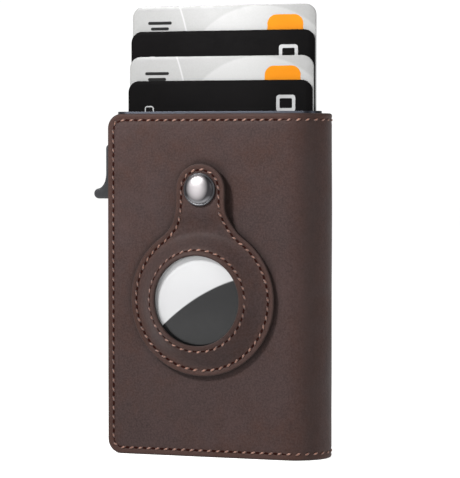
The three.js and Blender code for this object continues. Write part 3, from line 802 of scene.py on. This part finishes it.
def make_holder():
    outline = holder_outline(0.0)
    order = np.argsort(np.arctan2(outline[:, 1], outline[:, 0]))
    angles, reach = np.arctan2(outline[:, 1], outline[:, 0])[order], np.hypot(*outline.T)[order]
    coarse = np.radians(np.arange(-180, 180, 1.5))
    strap_sector = np.radians(np.arange(73, 107, 0.5))
    theta = np.array(sorted(set(np.round(coarse, 6)) | set(np.round(strap_sector, 6))))
    edge = np.interp(theta, angles, reach, period=2 * math.pi)
    lip_radii = [WINDOW, WINDOW + 0.06 * MM, WINDOW + 0.18 * MM, WINDOW + 0.4 * MM]
    inner_radii = np.concatenate([lip_radii, np.linspace(WINDOW + 0.7 * MM, DOME_FOOT, 24)])
    to_edge = 1 - (1 - np.linspace(0, 1, 30)[1:]) ** 1.7
    round_dome = np.repeat(inner_radii[None, :], len(theta), axis=0)
    beyond_dome = DOME_FOOT + (edge[:, None] - DOME_FOOT) * to_edge[None, :]
    r = np.concatenate([round_dome, beyond_dome], axis=1)
    x, z = r * np.cos(theta)[:, None], r * np.sin(theta)[:, None]
    distance = nearest_edge(x, z, outline)
    roll = 0.30 * MM * rolled(distance, 0.35 * MM)
    lip = 0.35 * MM * rolled(r - WINDOW, 0.45 * MM)
    channel = 0.20 * MM * ridge(distance, HOLDER_STITCH_INSET, 0.5 * MM)
    window_channel = 0.18 * MM * ridge(r, WINDOW_STITCH_R, 0.5 * MM)
    from_snap = np.hypot(x, z - SNAP_RISE)
    seat = 0.16 * MM * fade(from_snap, SNAP_R - 0.3 * MM, SNAP_R + 0.8 * MM)
    top = holder_height(x, z)
    face = top - roll - lip - channel - window_channel - seat - 0.03 * MM
    thick = 1.15 * MM + 0.2 * MM * smoothstep(r, WINDOW, DOME_FOOT)
    back = np.maximum(top - thick, 0.02 * MM)
    outer = np.stack([TAG_X + x, FRONT_Y - face, TAG_Z + z], axis=-1)
    inner = np.stack([TAG_X + x, FRONT_Y - back, TAG_Z + z], axis=-1)
    rows, columns = x.shape
    count = rows * columns
    faces, rim = [], []
    for i in range(rows):
        for j in range(columns):
            a, b = i * columns + j, (i + 1) % rows * columns + j
            if j < columns - 1:
                faces.append((a, a + 1, b + 1, b))
                faces.append((count + a, count + b, count + b + 1, count + a + 1))
            if j in (0, columns - 1):
                rim.append((a, b, b + count, a + count))
    vertices = np.concatenate([outer.reshape(-1, 3), inner.reshape(-1, 3)])
    holder = new_object("holder_leather", vertices, faces + rim, ["leather", "leather_edge"])
    for polygon in holder.data.polygons[len(faces):]:
        polygon.material_index = 1
    burnish_and_shade = 0.5 * fade(distance, 0, 0.6 * MM) + 0.5 * fade(r - WINDOW, 0, 0.8 * MM)
    warm = 0.42 * fade(distance, 1.5 * MM, 3.2 * MM) + 0.35 * fade(r - WINDOW, 1.2 * MM, 3 * MM)
    paint(holder, burnish_and_shade, warm)
    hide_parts("holder_ring", "holder_strap")
    bend_with_strap(holder)


def bend_with_strap(piece):
    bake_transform(piece)


def holder_point(x, z):
    """A place on the holder's seam, a little below the leather's face."""
    return (TAG_X + x, FRONT_Y - float(holder_height(x, z)) + 0.18 * MM, TAG_Z + z)


def holder_normal(place):
    x, z, step = place[0] - TAG_X, place[2] - TAG_Z, 0.1 * MM
    dx = float(holder_height(x + step, z) - holder_height(x - step, z))
    dz = float(holder_height(x, z + step) - holder_height(x, z - step))
    normal = np.array([-dx / (2 * step), -1.0, -dz / (2 * step)])
    return normal / np.linalg.norm(normal)


def sew_holder():
    line = holder_outline(HOLDER_STITCH_INSET)
    line = [holder_point(x, z) for x, z in list(line[::-1]) + [line[-1]]]
    thick = 0.25 * MM
    for piece in stitches("stitching_holder", line, holder_normal, 2.5 * MM, 1.7 * MM, thick):
        bend_with_strap(piece)
    turns = np.linspace(0, 2 * math.pi, 160)
    line = [holder_point(WINDOW_STITCH_R * math.cos(a), -WINDOW_STITCH_R * math.sin(a)) for a in turns]
    for piece in stitches("stitching_window", line, holder_normal, 2.45 * MM, 1.65 * MM, thick):
        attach(piece, "front_cover")


make_holder()
sew_holder()

# ---------------- turned pieces


def turned(name, centre, profile, material, steps=96):
    """A closed piece turned about an axis along Y. The profile is radius and height above the front
    cover in millimetres, and runs from axis to axis or closes on itself."""
    x0, z0 = centre
    vertices, faces, rings = [], [], []
    for radius, height in profile:
        if radius == 0:
            rings.append([len(vertices)])
            vertices.append((x0, FRONT_Y - height * MM, z0))
            continue
        rings.append(list(range(len(vertices), len(vertices) + steps)))
        for k in range(steps):
            angle = 2 * math.pi * k / steps
            across, rise = radius * MM * math.cos(angle), radius * MM * math.sin(angle)
            vertices.append((x0 + across, FRONT_Y - height * MM, z0 + rise))
    pairs = list(zip(rings, rings[1:]))
    if len(rings[0]) > 1 and len(rings[-1]) > 1:
        pairs.append((rings[-1], rings[0]))
    for first, second in pairs:
        for k in range(steps):
            n = (k + 1) % steps
            if len(first) == 1:
                faces.append((first[0], second[k], second[n]))
            elif len(second) == 1:
                faces.append((first[k], second[0], first[n]))
            else:
                faces.append((first[k], second[k], second[n], first[n]))
    obj = new_object(name, vertices, faces, material)
    obj.data.set_sharp_from_angle(angle=math.radians(42))
    return obj


def arc_profile(centre, radius, start, end, count):
    angles = np.radians(np.linspace(start, end, count))
    return [(centre[0] + radius * math.cos(a), centre[1] + radius * math.sin(a)) for a in angles]


def make_snap():
    """The cap: a shallow dome with a rolled rim, over a short shank that goes through the strap."""
    at = (TAG_X, SNAP_Z)
    seat = 2.66
    slopes = np.linspace(0.08, 1.36, 22)
    dome = [(0.0, seat + 1.88)]
    dome += [(4.02 * math.sin(a), seat + 0.42 + 1.46 * math.cos(a) ** 0.9) for a in slopes]
    rim = arc_profile((4.2, seat + 0.34), 0.34, 120, -90, 12)
    cap = turned("snap_cap_dome", at, dome + rim + [(1.5, seat), (1.5, 1.5), (0.0, 1.5)], "snap_dome")
    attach(cap, "strap")
    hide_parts("snap_cap")


def make_tag():
    at = (TAG_X, TAG_Z)
    crown = [(r, 4.8 - 0.7 * (r / 13.2) ** 2) for r in np.linspace(0, 12.95, 24)]
    edge = arc_profile((12.93, crown[-1][1] - 0.22), 0.22, 80, 0, 6)
    edge += [(13.15, 2.9), (12.5, 2.9), (12.5, 3.6)]
    under = [(11.9, 3.85), (9, 3.99), (5, 4.2), (0, 4.28)]
    cover = turned("tag_steel_cover", at, crown + edge + under, "tag_steel", steps=128)
    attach(cover, "tag_lid")
    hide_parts("tag_battery_cover")
    outside = [(0, -3.1), (3, -3.08), (6, -2.98), (9, -2.75), (11, -2.45), (12.5, -2.1), (13.8, -1.66)]
    outside += [(14.8, -1.15), (15.4, -0.62), (15.75, -0.1), (15.93, 0.4), (15.95, 0.8), (15.88, 1.3)]
    outside += [(15.7, 1.75), (15.4, 2.2), (15.0, 2.6), (14.5, 3.0), (14.0, 3.34), (13.62, 3.56)]
    outside += [(13.42, 3.6)]
    inside = [(13.35, 3.5), (13.35, 1.4), (14.5, 1.1), (14.5, -0.1), (12.6, -1.15), (8, -2), (0, -2.2)]
    shell = turned("tag_white_shell", at, outside + inside, "white_plastic", steps=128)
    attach(shell, "tag")
    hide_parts("tag_shell")


make_snap()
make_tag()

# ---------------- prisms: cards, marks, slider


def prism(name, outline, y0, y1, material, bevel, segments=3):
    """An outline in X and Z between two values of Y, with its long edges rounded."""
    count = len(outline)
    vertices = [(x, y, z) for y in (y0, y1) for x, z in outline]
    faces = [tuple(range(count)), tuple(range(2 * count - 1, count - 1, -1))]
    faces += [(i, count + i, count + (i + 1) % count, (i + 1) % count) for i in range(count)]
    obj = new_object(name, vertices, faces, material)
    bevel_sharp(obj, bevel, segments)
    return obj


def rounded_outline(x0, x1, z0, z1, corner, steps=10):
    points = []
    left, right, bottom, top = x0 + corner, x1 - corner, z0 + corner, z1 - corner
    for cx, cz, first in ((right, top, 0), (left, top, 90), (left, bottom, 180), (right, bottom, 270)):
        for a in np.radians(np.linspace(first, first + 90, steps)):
            points.append((cx + corner * math.cos(a), cz + corner * math.sin(a)))
    return points


CARD_CORNER = 3.18 * MM
INK = 0.02 * MM  # how far a mark stands off its card
UNDER = 0.01 * MM  # how far it reaches in


def mark(name, outline, front, material, body):
    piece = prism(name, outline, front - INK, front + UNDER, material, 0)
    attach(piece, body)


def ring_mark(name, centre, half, stroke, front, body):
    """A hollow square with round corners."""
    (x, z), (along, up) = centre, half
    outer = rounded_outline(x - along, x + along, z - up, z + up, 0.8 * MM, 5)
    along, up = along - stroke, up - stroke
    inner = rounded_outline(x - along, x + along, z - up, z + up, 0.35 * MM, 5)
    count = len(outer)
    vertices = [(px, y, pz) for y in (front - INK, front + UNDER) for px, pz in outer + inner]
    faces = []
    for i in range(count):
        n = (i + 1) % count
        faces.append((i, n, count + n, count + i))
        faces.append((2 * count + i, 3 * count + i, 3 * count + n, 2 * count + n))
        faces.append((i, 2 * count + i, 2 * count + n, n))
        faces.append((count + i, count + n, 3 * count + n, 3 * count + i))
    piece = new_object(name, vertices, faces, "card_print", smooth=False)
    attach(piece, body)


def make_card(number, light):
    node = f"card_{number}"
    lo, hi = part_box(node)
    slot = "light_card" if light else "dark_card"
    outline = rounded_outline(lo.x, hi.x, lo.z, hi.z, CARD_CORNER)
    name = f"{slot}_{number}"
    if light:
        shades = (0.215, 0.215, 0.212), (0.255, 0.255, 0.252), (0.192, 0.192, 0.189)
        MATERIALS[name] = card_material(name, *shades, (lo.x, hi.z))
    else:
        shades = (0.0016, 0.0014, 0.0015), (0.0024, 0.0021, 0.0022)
        MATERIALS[name] = plastic_material(name, *shades, 0.5, specular=0.02)
    card = prism(f"printed_card_{number}", outline, lo.y, hi.y, name, 0.10 * MM, 2)
    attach(card, node)
    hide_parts(node)
    if light:
        x, z, half = hi.x - 8.8 * MM, hi.z - 8.0 * MM, 5.2 * MM
        tile = rounded_outline(x - half, x + half, z - half, z + half, 2.6 * MM)
        mark(f"card_{number}_amber_tile", tile, lo.y, "card_accent", node)
        for row, width in enumerate((7.1, 5.4, 3.7)):
            x, z = lo.x + 8.2 * MM, hi.z - (4.65 + 1.6 * row) * MM
            along, up = width / 2 * MM, 0.42 * MM
            bar = rounded_outline(x - along, x + along, z - up, z + up, 0.41 * MM, 5)
            mark(f"card_{number}_dash_{row + 1}", bar, lo.y, "card_ink", node)
    else:
        at, half = (hi.x - 7.5 * MM, hi.z - 6.4 * MM), (2.75 * MM, 2.3 * MM)
        ring_mark(f"card_{number}_silver_frame", at, half, 0.95 * MM, lo.y, node)
        at, half = (lo.x + 6.3 * MM, hi.z - 8.3 * MM), (1.35 * MM, 1.35 * MM)
        ring_mark(f"card_{number}_small_frame", at, half, 0.32 * MM, lo.y, node)


for number in range(1, 5):
    make_card(number, light=number % 2 == 0)


def make_slider():
    """The thumb tab: a flat strip that flares in a hollow curve to a rounded lip."""
    lo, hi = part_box("slider_thumb_tab")
    seat, face, tip = COVER_LEFT - 1.25 * MM, lo.x + 3.65 * MM, lo.x
    bottom, top, shoulder = lo.z, hi.z, lo.z + 7.1 * MM
    nose, corner = 1.42 * MM, 1.1 * MM
    outline = [(seat, bottom), (seat, top)]
    for a in np.linspace(0, math.pi / 2, 8):
        outline.append((face + corner - corner * math.sin(a), top - corner + corner * math.cos(a)))
    hollow = (face, shoulder), (face - 0.1 * MM, bottom + 3.6 * MM), (tip + nose, bottom + 2 * nose)
    for t in np.linspace(0, 1, 16):
        weights = ((1 - t) ** 2, 2 * t * (1 - t), t * t)
        outline.append(tuple(sum(w * p[k] for w, p in zip(weights, hollow)) for k in (0, 1)))
    for a in np.linspace(math.pi / 2, 1.5 * math.pi, 14)[1:]:
        outline.append((tip + nose + nose * math.cos(a), bottom + nose + nose * math.sin(a)))
    tab = prism("thumb_tab", outline, lo.y, hi.y, "black_plastic", 0.38 * MM)
    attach(tab, "slider")
    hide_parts("slider_thumb_tab")


make_slider()

# ---------------- lining and pockets

LINING_MARGIN = 0.5 * MM
LINING_THICK = 0.5 * MM
LINING_DEPTH = 1.5 * MM  # from the cover's face, where the lining lies on the leather
BOARD_THICK = 2.45 * MM  # how far the stiffening board lifts the front lining
SEAM_ON_BOARD = 0.98  # the seam lies just on the board's edge


def lining_half(name, start, end):
    """The lining of one half: it climbs over the board's edge, and comes down at the spine."""
    s, z = sheet_grid(start, end, 1.6 * MM, LINING_MARGIN)
    own = edge_distance(s, z, UNFOLDED, COVER_TOP, COVER_CORNER) - LINING_MARGIN
    over_board = smoothstep(own, 0, 1.4 * MM) * fade(s, FLAT - 0.4 * MM, FLAT + 5.5 * MM)
    channel = 0.12 * MM * ridge(own, STITCH_INSET, 0.5 * MM)
    depth = LINING_DEPTH + BOARD_THICK * over_board
    edge = 0.2 * MM * fade(own, 0, 0.5 * MM)
    outer = wrap(s, z, depth + edge)
    inner = wrap(s, z, depth + LINING_THICK - edge - channel)
    sheet, _ = closed_sheet(name, outer, inner, "lining")
    fold(sheet, front=start == 0)
    return sheet


def leaf(name, x_range, bottom, top_at, y_face, thick, material, body):
    """A flat leaf with soft edges. top_at gives the height of its top edge at each x."""
    share = graded(1.0, 0.004, 5, 0.03)
    x = np.repeat((x_range[0] + (x_range[1] - x_range[0]) * share)[None, :], len(share), axis=0)
    z = bottom + (top_at(x) - bottom) * share[:, None]
    from_sides = np.minimum(x - x_range[0], x_range[1] - x)
    distance = np.minimum(from_sides, np.minimum(z - bottom, top_at(x) - z))
    roll = 0.36 * thick * fade(distance, 0, 0.5 * MM)
    channel = 0.25 * thick * ridge(top_at(x) - z, 1.6 * MM, 0.3 * MM)
    outer = np.stack([x, y_face + roll, z], axis=-1)
    inner = np.stack([x, y_face + thick - roll - channel, z], axis=-1)
    sheet, _ = closed_sheet(name, outer, inner, material)
    paint(sheet, 0.6 * fade(distance, 0, 0.7 * MM), 0.3 * fade(distance, 1 * MM, 3 * MM))
    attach(sheet, body)
    return sheet


def make_pocket(node, dip):
    lo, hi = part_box(node)
    middle, half = (lo.x + hi.x) / 2, (hi.x - lo.x) / 2

    def top_at(x):
        return hi.z - dip * (1 - ((x - middle) / half) ** 2)

    name = node.replace("card_pocket", "pocket_leaf")
    sheet = leaf(name, (lo.x, hi.x), lo.z, top_at, lo.y, hi.y - lo.y, "leather", "front_cover")
    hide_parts(node)
    inset = 1.5 * MM
    left, right, bottom, top = lo.x + inset, hi.x - inset, lo.z + inset, hi.z - 2.4 * MM
    line = [(left, hi.y, top), (left, hi.y, bottom), (right, hi.y, bottom), (right, hi.y, top)]
    for piece in stitches(f"stitching_{name}", line, lambda place: BACK_NORMAL, radius=0.16 * MM):
        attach(piece, "front_cover")


def make_note_leaf():
    lo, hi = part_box("note_pocket_leaf")
    corner = 2 * MM

    def top_at(x):
        into = np.clip(corner - (x - lo.x), 0, corner)
        return hi.z - corner + np.sqrt(corner**2 - into**2)

    sheet = leaf("note_leaf", (lo.x, hi.x), lo.z, top_at, lo.y, hi.y - lo.y, "lining", "root")
    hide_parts("note_pocket_leaf")


def sew_lining(name, start, end):
    """The same seam as it comes through on the inside."""
    inside = []
    for place in cover_stitch_line(start, end):
        lift = LINING_DEPTH + LINING_THICK - STITCH_BED
        if start == 0 and place[0] < SPINE_X - 2 * MM:
            lift += BOARD_THICK * SEAM_ON_BOARD
        inside.append(place - cover_normal(place) * lift)
    for piece in stitches(name, inside, lambda place: -cover_normal(place), radius=0.18 * MM):
        fold(piece, front=start == 0)


front_lining = lining_half("cover_lining_front", 0.0, UNFOLDED / 2)
back_lining = lining_half("cover_lining_back", UNFOLDED / 2, UNFOLDED)
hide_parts("front_lining", "spine_lining")
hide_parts("back_lining")
make_pocket("card_pocket_upper", 5 * MM)
make_pocket("card_pocket_lower", 5 * MM)
make_note_leaf()
sew_lining("stitching_lining_front", 0.0, UNFOLDED / 2)
sew_lining("stitching_lining_back", UNFOLDED / 2, UNFOLDED)

# ---------------- card case

CASE_WALL = 0.8 * MM
SLOT_BOTTOM, SLOT_TOP, SLOT_HALF = 37.4 * MM, 88.4 * MM, 1.1 * MM
RIGHT_POINTS, LEFT_POINTS = 33, 16  # round the right side, and to each side of the slot


def case_ring(inset):
    """The case's flat oval section, with points at both sides and the middle of the slot."""
    lo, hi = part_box("case_tube")
    half = (hi.y - lo.y) / 2
    radius, lean = half - inset, math.asin(SLOT_HALF / (half - inset))
    right = np.linspace(-math.pi / 2, math.pi / 2, RIGHT_POINTS)
    left = [*np.linspace(math.pi / 2, math.pi - lean, LEFT_POINTS), math.pi]
    left += list(np.linspace(math.pi + lean, 1.5 * math.pi, LEFT_POINTS))
    ring = [(hi.x - half + radius * math.cos(a), CASE_MID_Y + radius * math.sin(a)) for a in right]
    return ring + [(lo.x + half + radius * math.cos(a), CASE_MID_Y + radius * math.sin(a)) for a in left]


def make_case():
    """The extruded case: a thin-walled flat oval with the slider's slot up its left side."""
    lo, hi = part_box("case_tube")
    rings = [case_ring(inset) for inset in (0.0, CASE_WALL)]
    slot_side = RIGHT_POINTS + LEFT_POINTS - 1
    count = len(rings[0])
    levels = (lo.z, SLOT_BOTTOM, SLOT_TOP, hi.z)
    vertices = [(x, y, z) for z in levels for ring in rings for x, y in ring]

    def at(level, side, i):
        return (level * 2 + side) * count + i % count

    def wall_end(level, i):
        return at(level, 0, i), at(level, 0, i + 1), at(level, 1, i + 1), at(level, 1, i)

    open_strips = (slot_side, slot_side + 1)
    faces = []
    for i in range(count):
        for level in range(3):
            if level == 1 and i in open_strips:
                continue
            for side in (0, 1):
                a, b = at(level, side, i), at(level, side, i + 1)
                faces.append((a, b, at(level + 1, side, i + 1), at(level + 1, side, i)))
        faces += [wall_end(level, i) for level in (0, 3)]
    for i in open_strips:
        faces += [wall_end(level, i) for level in (1, 2)]
    for i in (slot_side, slot_side + 2):
        faces.append((at(1, 0, i), at(1, 1, i), at(2, 1, i), at(2, 0, i)))
    case = new_object("card_case_shell", vertices, faces, "case_metal")
    bevel_sharp(case, 0.13 * MM, 2)
    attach(case, "root")
    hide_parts("case_tube")


make_case()

# ---------------- stage and light


def make_stage():
    size = 6.0
    vertices = [(-size, -size, 0), (size, -size, 0), (size, size, 0), (-size, size, 0)]
    m = Nodes("floor", roughness=0.9)
    m.color(m.mix(m.noise(3), (0.50, 0.50, 0.50), (0.53, 0.53, 0.53)))
    m.shader.inputs["Emission Color"].default_value = (1, 1, 1, 1)
    m.shader.inputs["Emission Strength"].default_value = 0.85
    MATERIALS["floor"] = m.material
    new_object("floor", vertices, [(0, 1, 2, 3)], "floor", smooth=False)


def area_light(name, place, target, size, power):
    data = bpy.data.lights.new(name, "AREA")
    data.size = size
    data.energy = power
    light = bpy.data.objects.new(name, data)
    light.location = place
    direction = Vector(target) - Vector(place)
    light.rotation_euler = direction.to_track_quat("-Z", "Y").to_euler()
    bpy.context.scene.collection.objects.link(light)


def make_world():
    """A white studio: bright round the horizon and softer overhead."""
    world = bpy.data.worlds.new("world")
    world.use_nodes = True
    tree = world.node_tree
    background = tree.nodes["Background"]
    background.inputs["Color"].default_value = (1, 1, 1, 1)
    direction = tree.nodes.new("ShaderNodeTexCoord")
    split = tree.nodes.new("ShaderNodeSeparateXYZ")
    strength = tree.nodes.new("ShaderNodeMapRange")
    for key, value in {"From Min": 0.06, "From Max": 0.24, "To Min": 1.05, "To Max": 0.30}.items():
        strength.inputs[key].default_value = value
    tree.links.new(direction.outputs["Generated"], split.inputs[0])
    tree.links.new(split.outputs["Z"], strength.inputs["Value"])
    tree.links.new(strength.outputs["Result"], background.inputs["Strength"])
    bpy.context.scene.world = world


def make_lights():
    area_light("key", (-0.15, -0.256, 0.29), (0.01, 0.0, 0.09), 0.055, 2.3)
    area_light("fill", (0.70, -0.30, 0.35), (0.0, 0.0, 0.055), 0.35, 3.0)
    make_world()
    bpy.context.scene.view_settings.view_transform = "Standard"


make_stage()
make_lights()

for node, obj in frame["nodes"].items():
    if obj.hide_render:
        continue
    row = next(r for r in frame["record"]["subparts"] if r["node"] == node)
    if row["material_slot"] in MATERIALS:
        obj.data.materials.clear()
        obj.data.materials.append(MATERIALS[row["material_slot"]])
